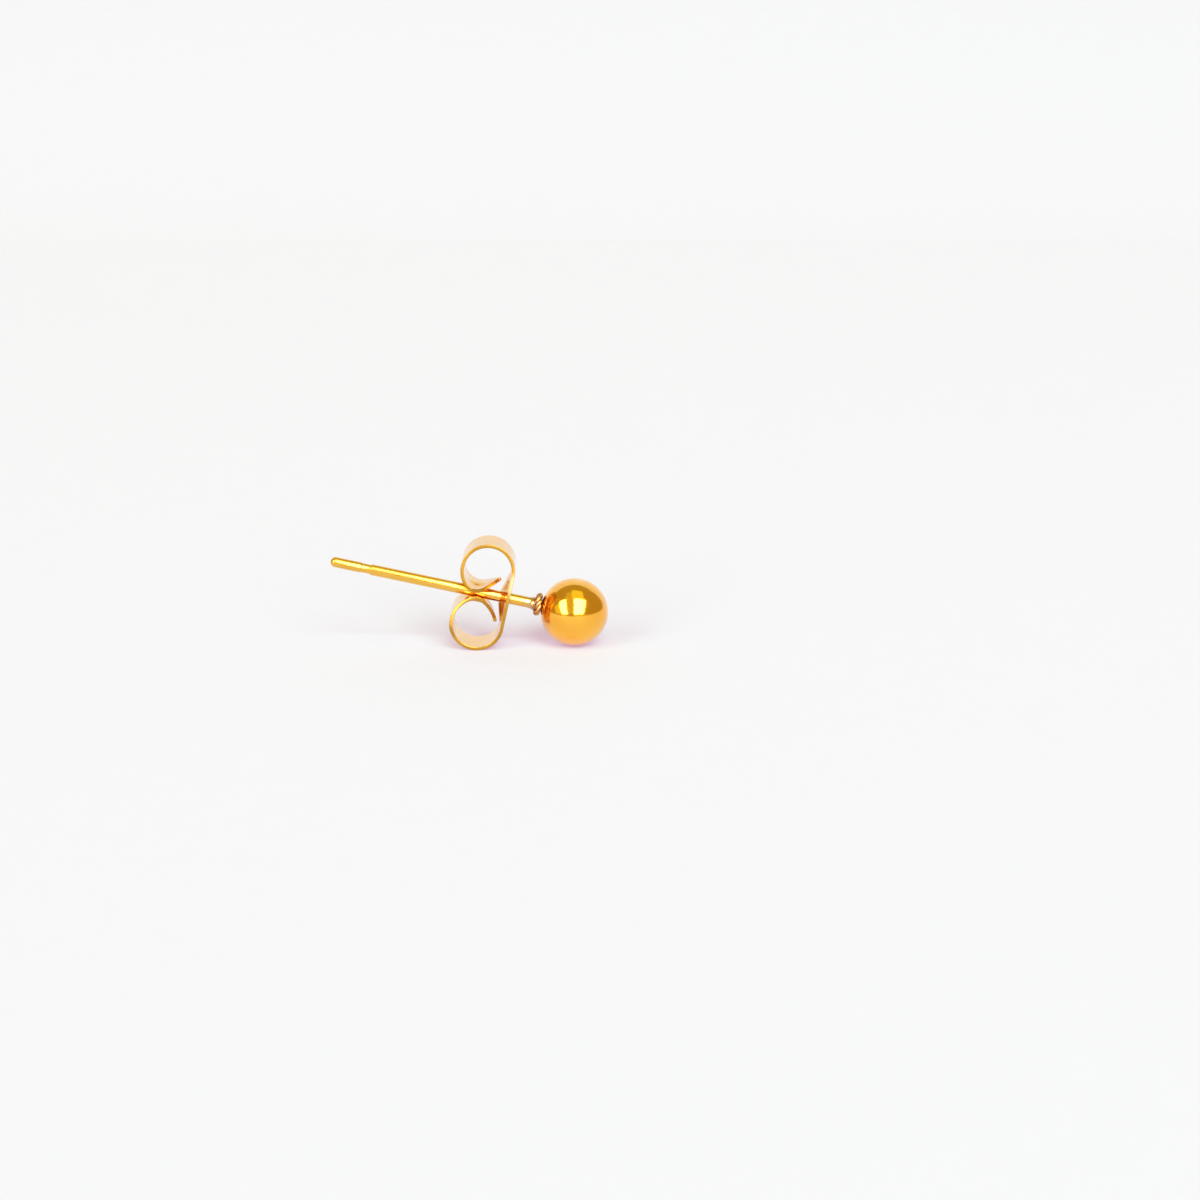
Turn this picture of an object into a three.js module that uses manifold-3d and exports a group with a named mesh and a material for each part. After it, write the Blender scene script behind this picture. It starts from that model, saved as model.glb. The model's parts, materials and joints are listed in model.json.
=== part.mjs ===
// A ball stud earring with its butterfly clutch, lying on a flat surface.
// Millimetres, +Z up, X along the post with the ball at the +X end, origin under the middle.
// Every piece is built round a straight upright post first: X is across the clutch's strip, Y runs from
// the ball's centre to the post's tip and Z points from one scroll to the other. The whole is then laid
// down and leaned until the ball and the lower scroll both touch the surface.

import * as THREE from "three";
import { mergeVertices } from "three/addons/utils/BufferGeometryUtils.js";
import Module from "manifold-3d";

const wasm = await Module();
wasm.setup();

// Clearances
const FIT_CLEARANCE = 0.04; // all round the post and its peg, where they pass through another piece
const SEAT_GAP = 0.04; // along the post, between the ball, the collar and the post's flange

// Ball
const BALL_RADIUS = 2;
const PEG_HOLE_DEPTH = 1.6; // from the ball's surface to the bottom of the drilled hole

// Post
const POST_RADIUS = 0.32;
const POST_REACH = 12.55; // from the ball's surface to the tip
const PEG_RADIUS = 0.26; // the thin end that goes through the collar into the ball
const PEG_END_GAP = 0.1; // between the peg's end and the bottom of its hole
const FLANGE_RADIUS = 0.42; // the upset rim that bears on the collar
const FLANGE_THICKNESS = 0.09;
const FLARE_LENGTH = 0.24; // the flare from the flange down to the post
const GROOVE_TO_TIP = 1.85; // from the groove's tip side to the tip
const GROOVE_WIDTH = 0.5;
const GROOVE_DEPTH = 0.05;
const TIP_RADIUS = 0.3; // the end past the groove is a little thinner than the post
const TIP_ROUND = 0.28; // length of the rounded end

// Collar: strands of thin wire twisted together and closed into a ring round the peg
const STRAND_RADIUS = 0.11;
const TWIST_RADIUS = 0.085; // from the middle of the rope to the middle of a strand
const TWISTS = 3; // full turns of each strand on its way round the ring
const STRANDS = 3;

// Clutch strip
const STRIP_THICKNESS = 0.2;
const PLATE_WIDTH = 3;
const SCROLL_WIDTH = 2.4; // at the far side of each roll from the post
const TONGUE_WIDTH = 2.8; // where a roll comes back to the post, before the tongue narrows
const CLUTCH_PLACE = 4; // from the ball's centre to the middle of the plate's thickness
const PLATE_HALF_HEIGHT = 1.62; // flat part of the plate, from the post's axis to where a scroll starts
const ROLL_RADIUS = 1.485; // both scrolls, to the middle of the strip
const DISH_DEPTH = 0.5; // the plate is dished to a funnel towards the scrolls, with the hole at its bottom
const DISH_HALF_HEIGHT = 1.8; // along the strip, past the flat part into each roll
const DISH_HALF_WIDTH = 1.15;
const CHANNEL_BLEND = 0.16; // softens the edges of the channel that is pressed into each scroll
const EDGE_CURL = 0.015; // rolling turns the long edges of a scroll out this far, so it stands on them
const POINT_HALF_WIDTH = 0.09; // half the width that is left at the very end
const POINT_SHARPNESS = 1.4; // 1 for a straight-sided point, more for a rounder one

// Each scroll rolls round first, bends more tightly where it meets the post, and ends in a tongue. Taper is
// the length over which the strip narrows to its point.
const SCROLLS = {
  upper: { rollTurn: 220, bendRadius: 0.9, bendTurn: 82, tongueRadius: 8, tongueLength: 1, taper: 1.8 },
  lower: { rollTurn: 239, bendRadius: 0.86, bendTurn: 67, tongueRadius: 2.5, tongueLength: 1.45, taper: 4.4 },
};

// Fineness of the meshes
const ROUND_SIDES = 32;
const BALL_STEPS = 18;
const TIP_STEPS = 5;
const STRAND_STEPS = 96;
const STRAND_SIDES = 8;
const STRIP_STEPS = 96;
const STRIP_COLUMNS = 10;
const NEARBY = 1e-3; // how far to each side the strip's slope is measured
const END_CROWDING = 0.8; // crowds the strip's steps towards its two tips, 0 for none and below 1

// Sizes worked out from those above
const ROPE_RADIUS = TWIST_RADIUS + STRAND_RADIUS;
const RING_RADIUS = PEG_RADIUS + FIT_CLEARANCE + ROPE_RADIUS;
const PEG_HOLE_RADIUS = PEG_RADIUS + FIT_CLEARANCE;
const PEG_HOLE_BOTTOM = BALL_RADIUS - PEG_HOLE_DEPTH;
const CLUTCH_HOLE_RADIUS = POST_RADIUS + FIT_CLEARANCE;
const POST_END = BALL_RADIUS + POST_REACH;
const COLLAR_PLACE = ringPlaceOnBall();
const FLANGE_PLACE = COLLAR_PLACE + ROPE_RADIUS + SEAT_GAP;

// Where the middle of the rope ring lies along the post when it sits a gap clear of the ball.
function ringPlaceOnBall() {
  const reach = BALL_RADIUS + SEAT_GAP + ROPE_RADIUS;
  return Math.sqrt(reach ** 2 - RING_RADIUS ** 2);
}

// The closed solid of a geometry, for joining and cutting.
function solidOf(geometry) {
  const bare = geometry.clone();
  bare.deleteAttribute("normal");
  bare.deleteAttribute("uv");
  const merged = mergeVertices(bare, 1e-4);
  return new wasm.Manifold(
    new wasm.Mesh({
      numProp: 3,
      vertProperties: merged.attributes.position.array,
      triVerts: new Uint32Array(merged.index.array),
    }),
  );
}

function geometryOf(solid) {
  const mesh = solid.getMesh();
  const geometry = new THREE.BufferGeometry();
  geometry.setAttribute("position", new THREE.BufferAttribute(mesh.vertProperties, 3));
  geometry.setIndex(new THREE.BufferAttribute(mesh.triVerts, 1));
  geometry.computeVertexNormals();
  return geometry;
}

function piece(name, geometry, material) {
  const mesh = new THREE.Mesh(geometry, material);
  mesh.name = name;
  return mesh;
}

// Polished gold-coloured plating over steel, a little redder or paler on each piece.
function gold(color, roughness) {
  return new THREE.MeshStandardMaterial({ color, roughness, metalness: 1 });
}

// The ball, turned about the post's axis, with the hole for the peg drilled in from the post's side.
function makeBall() {
  const rimAngle = Math.asin(PEG_HOLE_RADIUS / BALL_RADIUS);
  const outline = [new THREE.Vector2(0, -BALL_RADIUS)];
  for (let step = 1; step <= BALL_STEPS; step++) {
    const angle = ((Math.PI - rimAngle) * step) / BALL_STEPS;
    outline.push(new THREE.Vector2(BALL_RADIUS * Math.sin(angle), -BALL_RADIUS * Math.cos(angle)));
  }
  outline.push(new THREE.Vector2(PEG_HOLE_RADIUS, PEG_HOLE_BOTTOM));
  outline.push(new THREE.Vector2(0, PEG_HOLE_BOTTOM));
  return piece("ball", new THREE.LatheGeometry(outline, ROUND_SIDES), gold(0xd99a1c, 0.08));
}

// The post: peg, flange, flare, long shank, groove and rounded tip, turned in one piece.
function makePost() {
  const flangeEnd = FLANGE_PLACE + FLANGE_THICKNESS;
  const flareEnd = flangeEnd + FLARE_LENGTH;
  const grooveEnd = POST_END - GROOVE_TO_TIP;
  const grooveStart = grooveEnd - GROOVE_WIDTH;
  const tipStart = POST_END - TIP_ROUND;
  const outline = [
    new THREE.Vector2(0, PEG_HOLE_BOTTOM + PEG_END_GAP),
    new THREE.Vector2(PEG_RADIUS, PEG_HOLE_BOTTOM + PEG_END_GAP),
    new THREE.Vector2(PEG_RADIUS, FLANGE_PLACE),
    new THREE.Vector2(FLANGE_RADIUS, FLANGE_PLACE),
    new THREE.Vector2(FLANGE_RADIUS, flangeEnd),
    new THREE.Vector2((FLANGE_RADIUS + 2 * POST_RADIUS) / 3, flangeEnd + FLARE_LENGTH / 3),
    new THREE.Vector2(POST_RADIUS, flareEnd),
    new THREE.Vector2(POST_RADIUS, grooveStart - GROOVE_DEPTH),
    new THREE.Vector2(POST_RADIUS - GROOVE_DEPTH, grooveStart),
    new THREE.Vector2(POST_RADIUS - GROOVE_DEPTH, grooveEnd),
    new THREE.Vector2(TIP_RADIUS, grooveEnd + GROOVE_DEPTH),
  ];
  for (let step = 0; step < TIP_STEPS; step++) {
    const angle = (Math.PI / 2) * (step / TIP_STEPS);
    outline.push(new THREE.Vector2(TIP_RADIUS * Math.cos(angle), tipStart + TIP_ROUND * Math.sin(angle)));
  }
  outline.push(new THREE.Vector2(0, POST_END));
  return piece("post", new THREE.LatheGeometry(outline, ROUND_SIDES), gold(0xd9a431, 0.16));
}

// The middle line of one strand of the twisted ring, as a share of its way round.
class Strand extends THREE.Curve {
  constructor(phase) {
    super();
    this.phase = phase;
  }

  getPoint(share, target = new THREE.Vector3()) {
    const round = 2 * Math.PI * share;
    const twist = this.phase + TWISTS * round;
    const radius = RING_RADIUS + TWIST_RADIUS * Math.cos(twist);
    const along = COLLAR_PLACE + TWIST_RADIUS * Math.sin(twist);
    return target.set(radius * Math.cos(round), along, radius * Math.sin(round));
  }
}

// The collar: the strands of the twisted ring, soldered into one.
function makeCollar() {
  let ring = null;
  for (let strand = 0; strand < STRANDS; strand++) {
    const path = new Strand((2 * Math.PI * strand) / STRANDS);
    const tube = solidOf(new THREE.TubeGeometry(path, STRAND_STEPS, STRAND_RADIUS, STRAND_SIDES, true));
    ring = ring ? ring.add(tube) : tube;
  }
  return piece("collar", geometryOf(ring), gold(0xc98f3a, 0.22));
}

// The stretches of one scroll's middle line: its radius, turn and length, one after the other.
function stretchesOf(scroll) {
  const bend = (radius, turn) => ({ radius, turn, length: radius * turn });
  return [
    { radius: Infinity, turn: 0, length: PLATE_HALF_HEIGHT },
    bend(ROLL_RADIUS, THREE.MathUtils.degToRad(scroll.rollTurn)),
    bend(scroll.bendRadius, THREE.MathUtils.degToRad(scroll.bendTurn)),
    bend(scroll.tongueRadius, scroll.tongueLength / scroll.tongueRadius),
  ];
}

function lengthOf(scroll) {
  return stretchesOf(scroll).reduce((sum, stretch) => sum + stretch.length, 0);
}

// The point at a distance along one half of the strip from the post's axis, x along the post and y away from
// it, and the direction that faces the inside of the scroll there.
function halfLine(scroll, distance) {
  const point = new THREE.Vector2(CLUTCH_PLACE, 0);
  let heading = Math.PI / 2;
  let left = distance;
  for (const stretch of stretchesOf(scroll)) {
    const run = Math.min(left, stretch.length);
    const turn = run / stretch.radius;
    const chord = turn > 0 ? 2 * stretch.radius * Math.sin(turn / 2) : run;
    point.x += chord * Math.cos(heading - turn / 2);
    point.y += chord * Math.sin(heading - turn / 2);
    heading -= turn;
    left -= run;
  }
  const inward = new THREE.Vector2(Math.sin(heading), -Math.cos(heading));
  return { point, inward };
}

// Half the strip's width at a distance from the post's axis: it narrows from the oval plate to the middle of
// the roll, widens again towards the post and ends in a pointed tongue.
function halfWidth(scroll, distance) {
  const length = lengthOf(scroll);
  const oval = 1 - THREE.MathUtils.smoothstep(distance, 0, PLATE_HALF_HEIGHT + ROLL_RADIUS);
  const flare = THREE.MathUtils.smoothstep(distance, length / 2, length - scroll.taper);
  const full = SCROLL_WIDTH + (PLATE_WIDTH - SCROLL_WIDTH) * oval + (TONGUE_WIDTH - SCROLL_WIDTH) * flare;
  const narrowing = Math.max(0, 1 - (length - distance) / scroll.taper);
  return Math.max(POINT_HALF_WIDTH, (full / 2) * (1 - narrowing ** POINT_SHARPNESS));
}

// The middle of the strip's thickness, across it from -1 to 1 and along it from the lower tip to the upper
// one. The dish is pressed into the plate, and each scroll bears a channel that clears the post.
function middleSurface(across, along) {
  const side = along < 0 ? -1 : 1;
  const scroll = along < 0 ? SCROLLS.lower : SCROLLS.upper;
  const distance = Math.abs(along);
  const { point, inward } = halfLine(scroll, distance);
  const sideways = across * halfWidth(scroll, distance);
  const rollLength = ROLL_RADIUS * THREE.MathUtils.degToRad(scroll.rollTurn);
  const rollShare = THREE.MathUtils.clamp((distance - PLATE_HALF_HEIGHT) / rollLength, 0, 1);
  point.addScaledVector(inward, -EDGE_CURL * across ** 2 * Math.sin(Math.PI * rollShare));
  if (distance < PLATE_HALF_HEIGHT + ROLL_RADIUS) {
    const spread = Math.hypot(distance / DISH_HALF_HEIGHT, sideways / DISH_HALF_WIDTH);
    point.addScaledVector(inward, DISH_DEPTH * Math.max(0, 1 - spread));
    return new THREE.Vector3(sideways, point.x, side * point.y);
  }
  const clear = CLUTCH_HOLE_RADIUS + STRIP_THICKNESS / 2;
  const channel = Math.sqrt(Math.max(0, clear ** 2 - sideways ** 2));
  const blended = (point.y + channel + Math.hypot(point.y - channel, CHANNEL_BLEND)) / 2;
  return new THREE.Vector3(sideways, point.x, side * blended);
}

// The strip, bent from a flat bar, and its hole cut for the post.
function makeClutch() {
  const lowerLength = lengthOf(SCROLLS.lower);
  const upperLength = lengthOf(SCROLLS.upper);
  const crowding = END_CROWDING * (Math.PI / 2);
  const bar = new THREE.BoxGeometry(2, 2, STRIP_THICKNESS, STRIP_COLUMNS, STRIP_STEPS, 1);
  const places = bar.attributes.position;
  for (let index = 0; index < places.count; index++) {
    const across = places.getX(index);
    const share = Math.sin(places.getY(index) * crowding) / Math.sin(crowding);
    const along = share * (share < 0 ? lowerLength : upperLength);
    const acrossStep = middleSurface(across + NEARBY, along).sub(middleSurface(across - NEARBY, along));
    const alongStep = middleSurface(across, along + NEARBY).sub(middleSurface(across, along - NEARBY));
    const normal = acrossStep.cross(alongStep).normalize();
    const point = middleSurface(across, along).addScaledVector(normal, places.getZ(index));
    places.setXYZ(index, point.x, point.y, point.z);
  }
  const drillLength = 2 * (DISH_DEPTH + STRIP_THICKNESS);
  const drill = new THREE.CylinderGeometry(CLUTCH_HOLE_RADIUS, CLUTCH_HOLE_RADIUS, drillLength, ROUND_SIDES);
  drill.translate(0, CLUTCH_PLACE, 0);
  const strip = solidOf(bar).subtract(solidOf(drill));
  return piece("clutch", geometryOf(strip), gold(0xe0ac55, 0.18));
}

// The angle to the surface at which the ball and the lower scroll's roll both touch it.
function leanAngle() {
  const rollPlace = CLUTCH_PLACE + ROLL_RADIUS;
  const rollOutside = ROLL_RADIUS + STRIP_THICKNESS / 2 + EDGE_CURL;
  const steepness = Math.atan2(PLATE_HALF_HEIGHT, rollPlace);
  return steepness + Math.asin((rollOutside - BALL_RADIUS) / Math.hypot(rollPlace, PLATE_HALF_HEIGHT));
}

const upright = new THREE.Group();
upright.add(makeBall(), makePost(), makeCollar(), makeClutch());
upright.rotation.z = Math.PI / 2;

const lying = new THREE.Group();
lying.add(upright);
lying.rotation.y = leanAngle();

// The origin lies under the middle of the whole earring, on the surface.
const box = new THREE.Box3().setFromObject(lying, true);
lying.position.set(-(box.min.x + box.max.x) / 2, -(box.min.y + box.max.y) / 2, -box.min.z);

const earring = new THREE.Group();
earring.add(lying);

export default earring;
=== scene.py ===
"""A ball stud earring with its butterfly clutch, lying on a pale table."""

import json
import math

import bmesh
import bpy
from mathutils import Matrix, Vector


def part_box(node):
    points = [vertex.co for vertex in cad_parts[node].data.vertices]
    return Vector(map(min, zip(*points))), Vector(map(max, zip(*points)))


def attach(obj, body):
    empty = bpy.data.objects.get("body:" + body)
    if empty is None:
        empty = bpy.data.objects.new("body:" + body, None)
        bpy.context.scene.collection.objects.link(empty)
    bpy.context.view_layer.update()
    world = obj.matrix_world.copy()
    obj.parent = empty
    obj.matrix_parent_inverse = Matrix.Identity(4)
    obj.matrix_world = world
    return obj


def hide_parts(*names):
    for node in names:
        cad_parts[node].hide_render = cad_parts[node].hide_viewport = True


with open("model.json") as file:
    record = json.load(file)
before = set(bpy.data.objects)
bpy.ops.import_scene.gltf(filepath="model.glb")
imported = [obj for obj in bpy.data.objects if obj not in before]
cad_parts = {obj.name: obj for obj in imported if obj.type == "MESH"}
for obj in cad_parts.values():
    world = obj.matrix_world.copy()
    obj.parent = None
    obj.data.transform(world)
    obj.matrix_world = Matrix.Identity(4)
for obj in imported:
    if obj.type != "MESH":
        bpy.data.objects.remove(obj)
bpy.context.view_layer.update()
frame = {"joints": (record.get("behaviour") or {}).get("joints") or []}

# The earring lies on its ball and on the lower scroll of its clutch, so its post leans. The pieces are
# made upright, in millimetres: x across the clutch's strip, y along the post from the ball's middle to
# the tip and z from the lower scroll to the upper one. This lays them down on the table, in metres.
MM = 0.001
ball_low, ball_high = (Vector(corner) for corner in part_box("ball"))
BALL_MIDDLE = (ball_low + ball_high) / 2
TO_TIP = Vector(frame["joints"][0]["axis"]).normalized()
ACROSS = Vector((0, 1, 0))
SCROLL_UP = ACROSS.cross(TO_TIP)
LAID_DOWN = Matrix.Translation(BALL_MIDDLE) @ (
    Matrix((ACROSS, TO_TIP, SCROLL_UP)).transposed().to_4x4() @ Matrix.Scale(MM, 4)
)

# The camera looks across the post from a little above the table, through a short telephoto lens. It
# stands off to the ball's left, with the ball near the middle of the picture.
CAMERA_ABOVE = math.radians(15)
CAMERA_ASIDE = math.radians(1)
CAMERA_DISTANCE = 130 * MM
BALL_LEFT_OF_MIDDLE = 1.512 * MM
BALL_BELOW_MIDDLE = 0.695 * MM
SENSOR = 36
LENS = 66.3

ahead = Vector(
    (
        math.sin(CAMERA_ASIDE) * math.cos(CAMERA_ABOVE),
        math.cos(CAMERA_ASIDE) * math.cos(CAMERA_ABOVE),
        -math.sin(CAMERA_ABOVE),
    )
)
right = Vector((math.cos(CAMERA_ASIDE), -math.sin(CAMERA_ASIDE), 0))
above = right.cross(ahead)
camera_data = bpy.data.cameras.new("camera")
camera_data.sensor_width = SENSOR
camera_data.lens = LENS
camera_data.clip_start = MM
camera_data.clip_end = 20
camera = bpy.data.objects.new("camera", camera_data)
bpy.context.scene.collection.objects.link(camera)
camera_place = (
    BALL_MIDDLE
    - ahead * CAMERA_DISTANCE
    + right * BALL_LEFT_OF_MIDDLE
    + above * BALL_BELOW_MIDDLE
)
camera.matrix_world = (
    Matrix.Translation(camera_place)
    @ Matrix((right, above, -ahead)).transposed().to_4x4()
)
bpy.context.scene.camera = camera

# The table is a pale matt sheet that runs on to the horizon, and glows faintly so that the shadows on
# it stay a soft lilac. Behind the earring a narrower sheet of the same paper rises out of it in a curve
# and stands as a wall.
TABLE_SIZE = 6
WALL_WIDTH = 1.5
WALL_START = 0.22
WALL_SEEN = 0.35
WALL_SUNK = 0.0005
BEND_RADIUS = 0.24
BEND_STEPS = 32
WALL_TOP = 0.8
TABLE_START = -0.06
FRONT_COLOUR = (0.31, 0.468, 0.384, 1)
BEND_COLOUR = (0.349, 0.536, 0.435, 1)
WALL_COLOUR = (0.294, 0.442, 0.36, 1)
MOTTLE = 0.12
PAPER_ROUGHNESS = 0.7
PAPER_ROUGHENING = 0.1
PAPER_SHEEN = 0.2
PAPER_GLOW = (1.0, 0.476, 0.905, 1)
GLOW_STRENGTH = 0.42
TABLE_GRAIN_PER_MM = 0.6


class Wire:
    """A socket in a material's nodes. A sum, difference or product of wires adds its Math node."""

    def __init__(self, tree, socket=None):
        self.tree = tree
        self.socket = socket

    def node(self, kind, settings, inputs, output=0):
        made = self.tree.nodes.new(kind)
        for name, value in settings.items():
            setattr(made, name, value)
        for key, value in inputs.items():
            if isinstance(value, Wire):
                self.tree.links.new(value.socket, made.inputs[key])
            else:
                made.inputs[key].default_value = value
        return Wire(self.tree, made.outputs[output])

    def math(self, operation, *terms):
        return self.node("ShaderNodeMath", {"operation": operation}, dict(enumerate(terms)))

    def __add__(self, other):
        return self.math("ADD", self, other)

    def __mul__(self, other):
        return self.math("MULTIPLY", self, other)

    def __sub__(self, other):
        return self.math("SUBTRACT", self, other)

    def __rsub__(self, other):
        return self.math("SUBTRACT", other, self)

    __radd__ = __add__

    def above_zero(self):
        return self.math("MAXIMUM", self, 0)

    def parts(self):
        """The x, y and z parts of a vector."""
        split = self.node("ShaderNodeSeparateXYZ", {}, {"Vector": self})
        return [Wire(self.tree, socket) for socket in split.socket.node.outputs]

    def noise(self, per_mm, detail):
        return self.node("ShaderNodeTexNoise", {}, {"Vector": self, "Scale": per_mm, "Detail": detail})

    def mixed(self, first, second):
        """A colour between first and second, by this wire's value."""
        return self.node("ShaderNodeMix", {"data_type": "RGBA"}, {0: self, 6: first, 7: second}, 2)


def new_material(name):
    """A material, its shader and its place in millimetres from the ball's middle, with x along the post
    and growing away from the tip."""
    material = bpy.data.materials.new(name)
    material.use_nodes = True
    tree = material.node_tree
    start = Wire(tree).node("ShaderNodeTexCoord", {}, {}, "Object")
    straighten = Matrix.Rotation(-math.asin(TO_TIP.z), 3, "Y")
    place = start.node(
        "ShaderNodeMapping",
        {},
        {
            "Vector": start,
            "Location": straighten @ BALL_MIDDLE / -MM,
            "Rotation": straighten.to_euler(),
            "Scale": (1 / MM, 1 / MM, 1 / MM),
        },
    )
    return material, tree.nodes["Principled BSDF"], place


def plug(material, shader, **sockets):
    """Links wires to the shader's sockets, or sets plain values on them."""
    for name, value in sockets.items():
        socket = shader.inputs[name.replace("_", " ")]
        if isinstance(value, Wire):
            material.node_tree.links.new(value.socket, socket)
        else:
            socket.default_value = value


def paper(name, mesh_form, near, near_y, far, far_y):
    """A sheet of the stage's paper, with a faint mottle. Its colour goes from near to far between these
    distances behind the ball, in metres, so that it looks evenly lit."""
    bmesh.ops.recalc_face_normals(mesh_form, faces=mesh_form.faces)
    mesh = bpy.data.meshes.new(name)
    mesh_form.to_mesh(mesh)
    mesh_form.free()
    for face in mesh.polygons:
        face.use_smooth = True
    sheet = bpy.data.objects.new(name, mesh)
    bpy.context.scene.collection.objects.link(sheet)
    material, shader, place = new_material(f"{name}_paper")
    grain = place.noise(TABLE_GRAIN_PER_MM, detail=4)
    behind = place.parts()[1]
    share = (behind - near_y / MM) * (MM / (far_y - near_y)) + (grain - 0.5) * MOTTLE
    plug(
        material,
        shader,
        Base_Color=share.mixed(near, far),
        Roughness=grain * PAPER_ROUGHENING + PAPER_ROUGHNESS,
        Specular_IOR_Level=PAPER_SHEEN,
        Emission_Color=PAPER_GLOW,
        Emission_Strength=GLOW_STRENGTH,
    )
    mesh.materials.append(material)


table = bmesh.new()
bmesh.ops.create_grid(table, x_segments=1, y_segments=1, size=TABLE_SIZE)
paper("table", table, FRONT_COLOUR, TABLE_START, BEND_COLOUR, WALL_START)

wall = bmesh.new()
foot = wall.verts.new((-WALL_WIDTH / 2, WALL_START, -WALL_SUNK))
bend = bmesh.ops.spin(
    wall,
    geom=[foot],
    cent=(0, WALL_START, BEND_RADIUS),
    axis=(1, 0, 0),
    angle=math.pi / 2,
    steps=BEND_STEPS,
)["geom_last"][0]
top = bmesh.ops.extrude_vert_indiv(wall, verts=[bend])["verts"][0]
top.co.z = WALL_TOP
far_side = bmesh.ops.extrude_edge_only(wall, edges=wall.edges[:])["geom"]
far_verts = [part for part in far_side if isinstance(part, bmesh.types.BMVert)]
bmesh.ops.translate(wall, verts=far_verts, vec=(WALL_WIDTH, 0, 0))
paper("wall", wall, BEND_COLOUR, WALL_START, WALL_COLOUR, WALL_SEEN)

# Two large soft panels lean over the camera's shoulders, a little above the table. The ball shows them
# as two bright windows. Dimmer ones hang above, between and to the left of them, in a dull gold room. A
# panel has its left, right, foot and top at a reach of 1, and its radiance in red, green and blue.
PANEL_REACH = 1.6
PANELS = {
    "left": (-0.8, -0.36, 0.11, 0.66, (6.5, 6.5, 7)),
    "right": (0.0, 0.51, 0.11, 0.64, (7.5, 7.5, 9)),
    "upper": (-0.1, 0.42, 0.67, 1.05, (0.5, 0.65, 0.1)),
    "middle": (-0.38, -0.02, 0.14, 0.95, (0.2, 0.22, 0.05)),
    "outer": (-1.75, -0.82, 0.11, 0.6, (0.5, 0.48, 0.05)),
}
ROOM_COLOUR = (0.5, 0.4, 0.12, 1)

for panel_name, (panel_left, panel_right, panel_foot, panel_top, radiance) in PANELS.items():
    panel_light = bpy.data.lights.new(f"panel_{panel_name}", "AREA")
    panel_light.shape = "RECTANGLE"
    panel_light.size = (panel_right - panel_left) * PANEL_REACH
    panel_light.size_y = (panel_top - panel_foot) * PANEL_REACH * math.sqrt(2)
    panel_light.color = [part / max(radiance) for part in radiance]
    panel_light.energy = max(radiance) * math.pi * panel_light.size * panel_light.size_y
    panel = bpy.data.objects.new(f"panel_{panel_name}", panel_light)
    bpy.context.scene.collection.objects.link(panel)
    panel_rise = (panel_foot + panel_top) / 2
    panel_middle = Vector(((panel_left + panel_right) / 2, panel_rise - 1, panel_rise)) * PANEL_REACH
    panel.matrix_world = Matrix.Translation(panel_middle) @ Matrix.Rotation(math.pi / 4, 4, "X")

room = bpy.data.worlds.new("room")
room.use_nodes = True
room.node_tree.nodes["Background"].inputs["Color"].default_value = ROOM_COLOUR
bpy.context.scene.world = room
bpy.context.scene.view_settings.view_transform = "Standard"

# The ball is pressed and turned from steel, polished to a mirror and plated a warm gold colour. A hole
# is drilled into it for the post's peg, which is soldered in.
BALL_RADIUS = 2
PEG_HOLE_RADIUS = 0.3
PEG_HOLE_BOTTOM = 0.4
HOLE_EDGE = 0.02
BALL_STEPS = 96
ROUND_SIDES = 128
BALL_GOLD = (1.0, 0.52, 0.038, 1)
BALL_DEEP = (0.98, 0.43, 0.008, 1)
LACQUER_ROUGHNESS = 0.08
TONE_CONTRAST = 2.2
TONE_PER_MM = 0.7
SMUDGE_PER_MM = 1.6
SMUDGE_ROUGHNESS = 0.07
WAVE_PER_MM = 1.1
PITS_PER_MM = 22
FINE_LINE_SCALE = 3.3
LINE_HEIGHT = 0.00025
LINE_ROUGHNESS = 0.03
SCRATCH_FROM = 0.6
SCRATCH_GAIN = 2.2
SCRATCH_DEPTH = 0.0008
SCRATCH_ROUGHNESS = 0.25
SCRATCH_DARKNESS = 0.4
PIT_FROM = 0.7
PIT_GAIN = 3
PIT_DEPTH = 0.002
PIT_ROUGHNESS = 0.4
BEVEL_SEGMENTS = 3
SAME_PLACE = 1e-4
MERGE_DISTANCE = 1e-5


def spun(profile):
    """The solid of a profile in the xy plane that is turned about the post's axis."""
    bmesh.ops.spin(
        profile,
        geom=profile.verts[:] + profile.edges[:],
        cent=(0, 0, 0),
        axis=(0, 1, 0),
        angle=2 * math.pi,
        steps=ROUND_SIDES,
        use_merge=True,
    )
    bmesh.ops.remove_doubles(profile, verts=profile.verts, dist=MERGE_DISTANCE)
    bmesh.ops.recalc_face_normals(profile, faces=profile.faces)


def rounded(solid, edges, width):
    bmesh.ops.bevel(
        solid,
        geom=edges,
        offset=width,
        segments=BEVEL_SEGMENTS,
        affect="EDGES",
        profile=0.5,
        material=-1,
    )


def eased(solid, radius, along, width):
    """Rounds the ring edge at that radius and place along the post."""

    def on_ring(vert):
        off_ring = (math.hypot(vert.co.x, vert.co.z) - radius, vert.co.y - along)
        return max(map(abs, off_ring)) < SAME_PLACE

    ring = [edge for edge in solid.edges if all(on_ring(vert) for vert in edge.verts)]
    rounded(solid, ring, width)


def laid_down(solid, name, body, materials):
    """Lays a finished solid down as a smooth piece that stands for the CAD node of the same name."""
    bmesh.ops.transform(solid, matrix=LAID_DOWN, verts=solid.verts)
    mesh = bpy.data.meshes.new(name)
    solid.to_mesh(mesh)
    solid.free()
    for face in mesh.polygons:
        face.use_smooth = True
    for material in materials:
        mesh.materials.append(material)
    piece = bpy.data.objects.new(f"{name}_polished", mesh)
    bpy.context.scene.collection.objects.link(piece)
    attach(piece, body)
    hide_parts(name)


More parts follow.
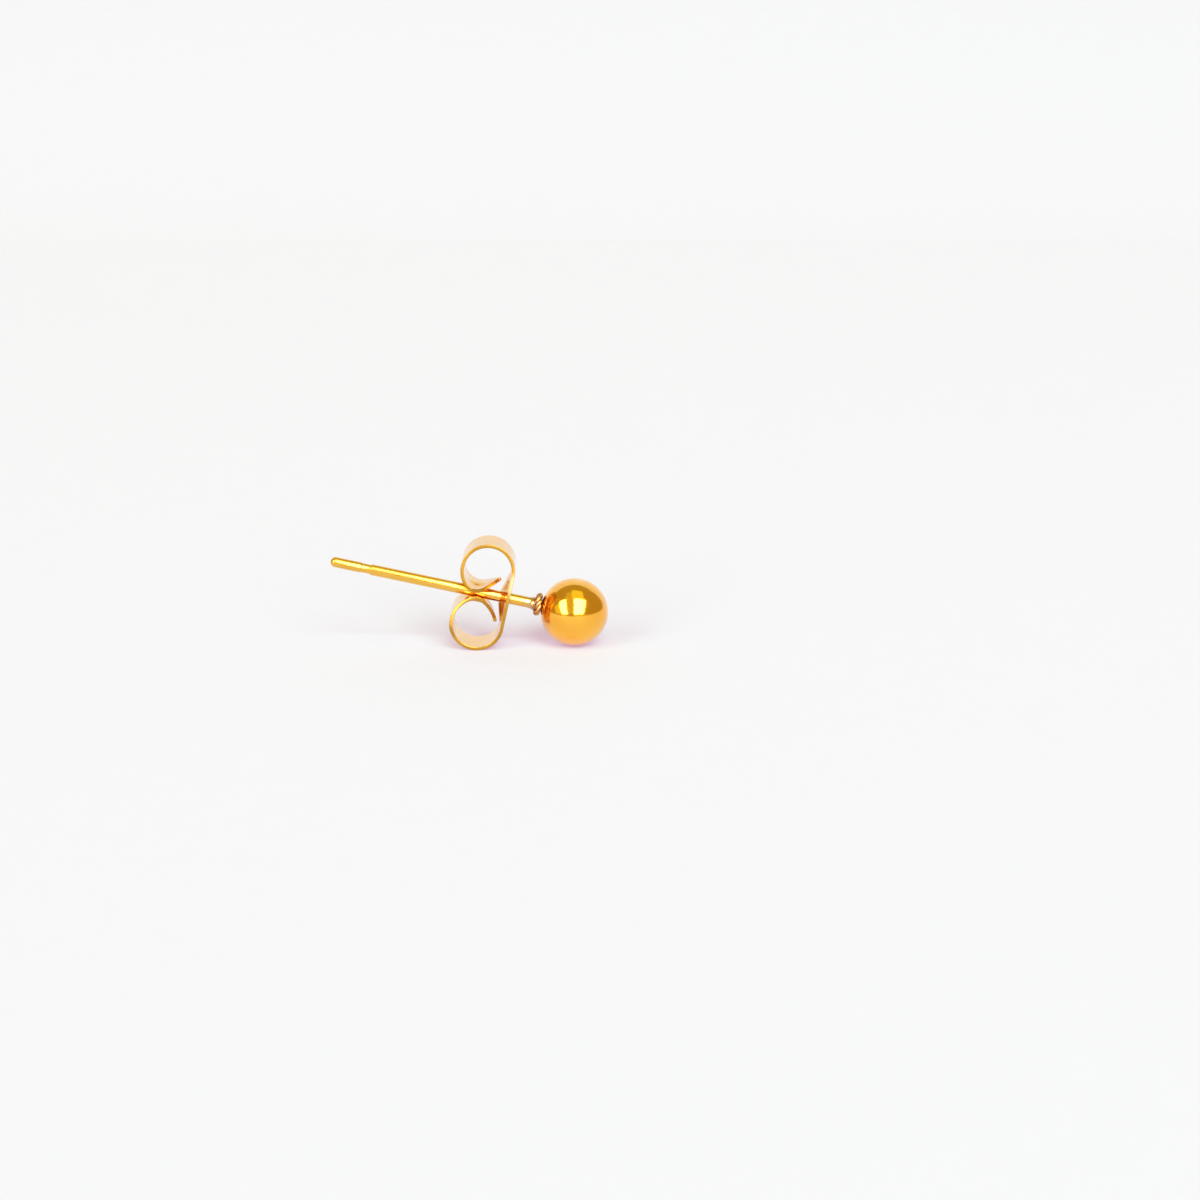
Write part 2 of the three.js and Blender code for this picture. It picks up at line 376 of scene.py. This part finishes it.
def gold(name, colour, deep, polish, streaks, wave, lacquer, tint=None):
    """Gold-coloured plating: polish is its roughness, streaks the scale of its polishing lines along,
    across and through the post, wave the height in millimetres of its soft unevenness and lacquer the
    weight of the clear coat over it. A tint is a third colour and the function that places it. The
    tints in the collar's grooves and the plate's dish are painted shade, the dish's also a painted
    reflection, and the one on the plate's edge is a painted highlight."""
    material, shader, place = new_material(name)
    tone = place.noise(TONE_PER_MM, detail=3)
    smudge = place.noise(SMUDGE_PER_MM, detail=5)
    lined = place.node("ShaderNodeMapping", {}, {"Vector": place, "Scale": streaks})
    scratch = (lined.noise(1, detail=4) - SCRATCH_FROM).above_zero() * SCRATCH_GAIN
    fine_lines = lined.noise(FINE_LINE_SCALE, detail=2)
    pits = (place.noise(PITS_PER_MM, detail=1) - PIT_FROM).above_zero() * PIT_GAIN
    roughness = polish + smudge * SMUDGE_ROUGHNESS + scratch * SCRATCH_ROUGHNESS
    roughness = roughness + fine_lines * LINE_ROUGHNESS + pits * PIT_ROUGHNESS
    soft_height = place.noise(WAVE_PER_MM, detail=2) * wave + fine_lines * LINE_HEIGHT
    height = soft_height - scratch * SCRATCH_DEPTH - pits * PIT_DEPTH
    bump = height.node("ShaderNodeBump", {}, {"Height": height, "Distance": MM, "Strength": 1.0})
    patches = (tone - 0.5) * TONE_CONTRAST + 0.5
    metal = (patches + scratch * SCRATCH_DARKNESS).mixed(colour, deep)
    if tint:
        tint_colour, tint_place = tint
        metal = tint_place(place).mixed(metal, tint_colour)
    plug(material, shader, Base_Color=metal, Roughness=roughness, Normal=bump, Metallic=1.0)
    plug(material, shader, Coat_Weight=lacquer, Coat_Roughness=LACQUER_ROUGHNESS)
    return material


ball = bmesh.new()
pole = ball.verts.new((0, -BALL_RADIUS, 0))
rim = bmesh.ops.spin(
    ball,
    geom=[pole],
    cent=(0, 0, 0),
    axis=(0, 0, 1),
    angle=math.pi - math.asin(PEG_HOLE_RADIUS / BALL_RADIUS),
    steps=BALL_STEPS,
)["geom_last"][0]
rim_place = rim.co.copy()
bottom = bmesh.ops.extrude_vert_indiv(ball, verts=[rim])["verts"][0]
bottom.co = (PEG_HOLE_RADIUS, PEG_HOLE_BOTTOM, 0)
middle = bmesh.ops.extrude_vert_indiv(ball, verts=[bottom])["verts"][0]
middle.co = (0, PEG_HOLE_BOTTOM, 0)
spun(ball)
eased(ball, rim_place.x, rim_place.y, HOLE_EDGE)
ball_plating = gold(
    "ball_plating",
    BALL_GOLD,
    BALL_DEEP,
    polish=0.08,
    streaks=(3, 9, 5),
    wave=0.004,
    lacquer=1.0,
)
laid_down(ball, "ball", "stud", [ball_plating])

# The post is drawn steel wire, turned down at one end to a peg for the ball, with a flare that is
# soldered to the collar. A groove near its rounded tip keeps the clutch from slipping off by itself.
POST_RADIUS = 0.32
POST_END = 14.55
PEG_RADIUS = 0.26
PEG_START = 0.5
FLANGE_RADIUS = 0.45
FLANGE_START = 2.363
FLARE_LENGTH = 0.38
FLARE_STEPS = 12
GROOVE_START = 12.2
GROOVE_END = 12.7
GROOVE_DEPTH = 0.05
TIP_RADIUS = 0.3
TIP_ROUND = 0.28
TIP_STEPS = 14
POST_EASE = 0.02
POST_GOLD = (0.89, 0.52, 0.092, 1)
POST_DEEP = (0.83, 0.44, 0.06, 1)
FLARE_TINT = (0.6, 0.38, 0.2, 1)
FLARE_TINT_REACH = 0.9

corners = [(0, PEG_START), (PEG_RADIUS, PEG_START), (PEG_RADIUS, FLANGE_START)]
for step in range(FLARE_STEPS + 1):
    share = step / FLARE_STEPS
    flare = (FLANGE_RADIUS - POST_RADIUS) * (1 - share) ** 2
    corners.append((POST_RADIUS + flare, FLANGE_START + FLARE_LENGTH * share))
groove = [
    (POST_RADIUS, GROOVE_START - GROOVE_DEPTH),
    (POST_RADIUS - GROOVE_DEPTH, GROOVE_START),
    (POST_RADIUS - GROOVE_DEPTH, GROOVE_END),
    (TIP_RADIUS, GROOVE_END + GROOVE_DEPTH),
]
corners += groove
for step in range(TIP_STEPS + 1):
    angle = math.pi / 2 * step / TIP_STEPS
    corners.append((TIP_RADIUS * math.cos(angle), POST_END - TIP_ROUND * (1 - math.sin(angle))))


def near_flange(place):
    """1 at the flange, fading to 0 along the post. The plating is drawn duller and redder there."""
    from_flange = (place.parts()[0] + FLANGE_START) * (-1 / FLARE_TINT_REACH)
    return (1 - from_flange).above_zero()


post = bmesh.new()
chain = [post.verts.new((radius, along, 0)) for radius, along in corners]
for start, end in zip(chain, chain[1:]):
    post.edges.new((start, end))
spun(post)
for radius, along in [*groove, (FLANGE_RADIUS, FLANGE_START), (PEG_RADIUS, PEG_START)]:
    eased(post, radius, along, POST_EASE)
post_plating = gold(
    "post_plating",
    POST_GOLD,
    POST_DEEP,
    polish=0.15,
    streaks=(0.6, 14, 14),
    wave=0.001,
    lacquer=0.2,
    tint=(FLARE_TINT, near_flange),
)
laid_down(post, "post", "stud", [post_plating])

# The collar is three strands of thin wire twisted into a ring round the peg, and soldered between the
# ball and the post's flange.
STRAND_RADIUS = 0.11
TWIST_RADIUS = 0.085
TWISTS = 3
STRANDS = 3
RING_RADIUS = 0.495
COLLAR_PLACE = 2.1795
STRAND_SIDES = 24
RING_STEPS = 240
COLLAR_GOLD = (0.7, 0.42, 0.16, 1)
COLLAR_DEEP = (0.5, 0.28, 0.09, 1)
# The groove colour is painted shade, darkening the plating in the grooves between the strands.
GROOVE_PAINTED_SHADE = (0.34, 0.16, 0.045, 1)
GROOVE_SHADE_SHARPNESS = 1.25

collar = bmesh.new()
for strand in range(STRANDS):
    circle = bmesh.ops.create_circle(
        collar, cap_ends=False, radius=STRAND_RADIUS, segments=STRAND_SIDES
    )["verts"]
    bmesh.ops.translate(collar, verts=circle, vec=(RING_RADIUS, COLLAR_PLACE, 0))
    edges = list({edge for vert in circle for edge in vert.link_edges})
    before = set(collar.verts) - set(circle)
    bmesh.ops.spin(
        collar,
        geom=circle + edges,
        cent=(0, 0, 0),
        axis=(0, 1, 0),
        angle=2 * math.pi,
        steps=RING_STEPS,
        use_merge=True,
    )
    phase = 2 * math.pi * strand / STRANDS
    for vert in set(collar.verts) - before:
        radial = Vector((vert.co.x, 0, vert.co.z)).normalized()
        twist = phase + TWISTS * math.atan2(vert.co.z, vert.co.x)
        vert.co += radial * TWIST_RADIUS * math.cos(twist)
        vert.co.y += TWIST_RADIUS * math.sin(twist)
bmesh.ops.recalc_face_normals(collar, faces=collar.faces)
# Each point records how deep it lies between the strands, which sets how much painted shade it gets.
groove_depth = collar.verts.layers.float.new("groove")
for vert in collar.verts:
    off_rope = math.hypot(math.hypot(vert.co.x, vert.co.z) - RING_RADIUS, vert.co.y - COLLAR_PLACE)
    below_crest = 1 - (off_rope - TWIST_RADIUS) / STRAND_RADIUS
    vert[groove_depth] = min(1, max(0, GROOVE_SHADE_SHARPNESS * below_crest))


def groove_painted_shade(place):
    """Where shade is painted in the grooves: 1 at the bottom of the grooves between the twisted
    strands, 0 on their crests.
    """
    return place.node("ShaderNodeAttribute", {"attribute_name": "groove"}, {}, "Fac")


collar_plating = gold(
    "collar_plating",
    COLLAR_GOLD,
    COLLAR_DEEP,
    polish=0.3,
    streaks=(8, 8, 8),
    wave=0.003,
    lacquer=0.0,
    tint=(GROOVE_PAINTED_SHADE, groove_painted_shade),
)
laid_down(collar, "collar", "stud", [collar_plating])

# The clutch is one strip of thin spring sheet, stamped out, dished round its hole and rolled into two
# scrolls. Their pointed tongues press a channel against the post and grip it. A scroll, the upper one
# at 1 and the lower one at -1, is a chain of arcs, each with its radius and its turn in degrees.
THICKNESS = 0.2
PLATE_WIDTH = 3
SCROLL_WIDTH = 2.4
TONGUE_WIDTH = 2.8
CLUTCH_PLACE = 4
PLATE_HALF_HEIGHT = 1.62
ROLL_RADIUS = 1.485
DISH_DEPTH = 0.5
DISH_HALF_HEIGHT = 1.8
DISH_HALF_WIDTH = 1.15
DISH_RIM = 0.12
HOLE_RADIUS = 0.385
CHANNEL_RADIUS = 0.46
CHANNEL_BLEND = 0.16
EDGE_CURL = 0.015
TONGUE_TAPERS = {1: 1.8, -1: 4.4}
POINT_HALF_WIDTH = 0.09
POINT_SHARPNESS = 1.4
STRIP_COLUMNS = 60
STRIP_ROWS = 440
HOLE_COLUMNS = 6
HOLE_BLEND = 2.6
STRIP_EASE = 0.03
CORNER_ANGLE = math.radians(50)
SCROLLS = {
    1: ((ROLL_RADIUS, 220), (0.9, 82), (8, math.degrees(1 / 8))),
    -1: ((ROLL_RADIUS, 239), (0.86, 67), (2.5, math.degrees(1.45 / 2.5))),
}
CLUTCH_GOLD = (0.94, 0.57, 0.17, 1)
CLUTCH_DEEP = (0.9, 0.47, 0.09, 1)
SHEARED_GOLD = (0.6, 0.35, 0.06, 1)
SHEARED_DEEP = (0.48, 0.24, 0.022, 1)
EDGE_FACE_SHARE = 0.9
# The pale edge colour is a painted highlight on the upper part of the plate's cut edge.
EDGE_PAINTED_HIGHLIGHT = (0.68, 0.54, 0.24, 1)
EDGE_HIGHLIGHT_MIDDLE = 1.15
EDGE_HIGHLIGHT_HALF_HEIGHT = 0.8
EDGE_HIGHLIGHT_REACH = 0.5
EDGE_HIGHLIGHT_SHARPNESS = 1.8
# The dish colour is painted shade and a painted reflection of the post, dark orange in the lower half
# of the plate's dish.
DISH_PAINTED_SHADE = (0.6, 0.22, 0.01, 1)
DISH_SHADE_RADIUS = 0.85
DISH_SHADE_DROP = 0.5
DISH_SHADE_REACH = 1.0
DISH_SHADE_SHARPNESS = 4


def smooth_step(value, start, end):
    share = min(1, max(0, (value - start) / (end - start)))
    return share * share * (3 - 2 * share)


def scroll_length(side):
    return PLATE_HALF_HEIGHT + sum(radius * math.radians(turn) for radius, turn in SCROLLS[side])


def scroll_line(side, distance):
    """The strip's middle at a distance from the hole, and the direction to the inside of the scroll."""
    point = Vector((CLUTCH_PLACE, min(distance, PLATE_HALF_HEIGHT)))
    heading = math.pi / 2
    left = max(0, distance - PLATE_HALF_HEIGHT)
    for radius, degrees in SCROLLS[side]:
        turn = min(left / radius, math.radians(degrees))
        chord = 2 * radius * math.sin(turn / 2)
        point += chord * Vector((math.cos(heading - turn / 2), math.sin(heading - turn / 2)))
        heading -= turn
        left -= turn * radius
    return point, Vector((math.sin(heading), -math.cos(heading)))


def half_width(side, distance):
    length = scroll_length(side)
    oval = 1 - smooth_step(distance, 0, PLATE_HALF_HEIGHT + ROLL_RADIUS)
    flare = smooth_step(distance, length / 2, length - TONGUE_TAPERS[side])
    full = SCROLL_WIDTH + (PLATE_WIDTH - SCROLL_WIDTH) * oval + (TONGUE_WIDTH - SCROLL_WIDTH) * flare
    taper = max(0, 1 - (length - distance) / TONGUE_TAPERS[side])
    return max(POINT_HALF_WIDTH, full / 2 * (1 - taper**POINT_SHARPNESS))


def softly_above(value, floor, blend):
    return (value + floor + math.hypot(value - floor, blend)) / 2


def bent(sideways, along):
    """Where a point of the flat blank lies once the strip is dished and rolled."""
    side = -1 if along < 0 else 1
    distance = abs(along)
    point, inward = scroll_line(side, distance)
    roll_share = (distance - PLATE_HALF_HEIGHT) / (ROLL_RADIUS * math.radians(SCROLLS[side][0][1]))
    curl = EDGE_CURL * math.sin(math.pi * min(1, max(0, roll_share)))
    point -= inward * curl * (sideways / half_width(side, distance)) ** 2
    if distance < PLATE_HALF_HEIGHT + ROLL_RADIUS:
        spread = math.hypot(distance / DISH_HALF_HEIGHT, sideways / DISH_HALF_WIDTH)
        point += inward * DISH_DEPTH * softly_above(1 - spread, 0, DISH_RIM)
        return Vector((sideways, point.x, side * point.y))
    channel = math.sqrt(max(0, CHANNEL_RADIUS**2 - sideways**2))
    return Vector((sideways, point.x, side * softly_above(point.y, channel, CHANNEL_BLEND)))


def dish_painted_shade(place):
    """Where painted shade and reflection lie: 1 in the lower half of the plate's dish, fading to 0 at
    its rim and past the plate.
    """
    along, across, up = place.parts()
    lower = up + DISH_SHADE_DROP
    radius = place.math("SQRT", across * across + lower * lower)
    near_middle = (1 - radius * (1 / DISH_SHADE_RADIUS)).above_zero()
    past_plate = place.math("ABSOLUTE", along + CLUTCH_PLACE + THICKNESS) * (1 / DISH_SHADE_REACH)
    near_plate = (1 - past_plate).above_zero()
    return place.math("MINIMUM", near_middle * near_plate * DISH_SHADE_SHARPNESS, 1)


def upper_edge_painted_highlight(place):
    """1 on the upper part of the plate's edge, fading to 0 round it. The edge is painted paler there,
    as a painted highlight.
    """
    along, _, up = place.parts()
    off_middle = place.math("ABSOLUTE", up - EDGE_HIGHLIGHT_MIDDLE) * (1 / EDGE_HIGHLIGHT_HALF_HEIGHT)
    off_plate = place.math("ABSOLUTE", along + CLUTCH_PLACE) * (1 / EDGE_HIGHLIGHT_REACH)
    on_edge = (1 - off_middle).above_zero() * (1 - off_plate).above_zero()
    return place.math("MINIMUM", on_edge * EDGE_HIGHLIGHT_SHARPNESS, 1)


clutch = bmesh.new()
bmesh.ops.create_grid(clutch, x_segments=STRIP_COLUMNS, y_segments=STRIP_ROWS, size=1)
hole_half = HOLE_COLUMNS / STRIP_COLUMNS * PLATE_WIDTH
for vert in clutch.verts:
    along = vert.co.y * scroll_length(-1 if vert.co.y < 0 else 1)
    vert.co = (vert.co.x * half_width(-1 if along < 0 else 1, abs(along)), along, 0)
inside = [
    face for face in clutch.faces if max(map(abs, face.calc_center_median().xy)) < hole_half
]
bmesh.ops.delete(clutch, geom=inside, context="FACES")
for vert in clutch.verts:
    square = max(abs(vert.co.x), abs(vert.co.y)) / hole_half
    ring = vert.co.normalized() * HOLE_RADIUS * max(1, square)
    on_rim = vert.is_boundary and square < HOLE_BLEND
    share = 0 if on_rim else smooth_step(square, 1, HOLE_BLEND)
    vert.co = (HOLE_RADIUS * vert.co.normalized() if on_rim else ring).lerp(vert.co, share)
for vert in clutch.verts:
    vert.co = bent(vert.co.x, vert.co.y)
bmesh.ops.recalc_face_normals(clutch, faces=clutch.faces)
clutch.normal_update()
for vert in clutch.verts:
    vert.co -= vert.normal * THICKNESS / 2
bmesh.ops.solidify(clutch, geom=clutch.faces[:], thickness=-THICKNESS)
bmesh.ops.recalc_face_normals(clutch, faces=clutch.faces)
# Only the faces at the sheet's cut edges are as long as it is thick.
for face in clutch.faces:
    if max(edge.calc_length() for edge in face.edges) > EDGE_FACE_SHARE * THICKNESS:
        face.material_index = 1
corner_edges = [
    edge for edge in clutch.edges if edge.is_manifold and edge.calc_face_angle() > CORNER_ANGLE
]
rounded(clutch, corner_edges, STRIP_EASE)
clutch_plating = gold(
    "clutch_plating",
    CLUTCH_GOLD,
    CLUTCH_DEEP,
    polish=0.12,
    streaks=(2, 12, 2),
    wave=0.002,
    lacquer=0.5,
    tint=(DISH_PAINTED_SHADE, dish_painted_shade),
)
sheared_edge = gold(
    "clutch_sheared_edge",
    SHEARED_GOLD,
    SHEARED_DEEP,
    polish=0.3,
    streaks=(9, 9, 9),
    wave=0.002,
    lacquer=0.0,
    tint=(EDGE_PAINTED_HIGHLIGHT, upper_edge_painted_highlight),
)
laid_down(clutch, "clutch", "butterfly", [clutch_plating, sheared_edge])
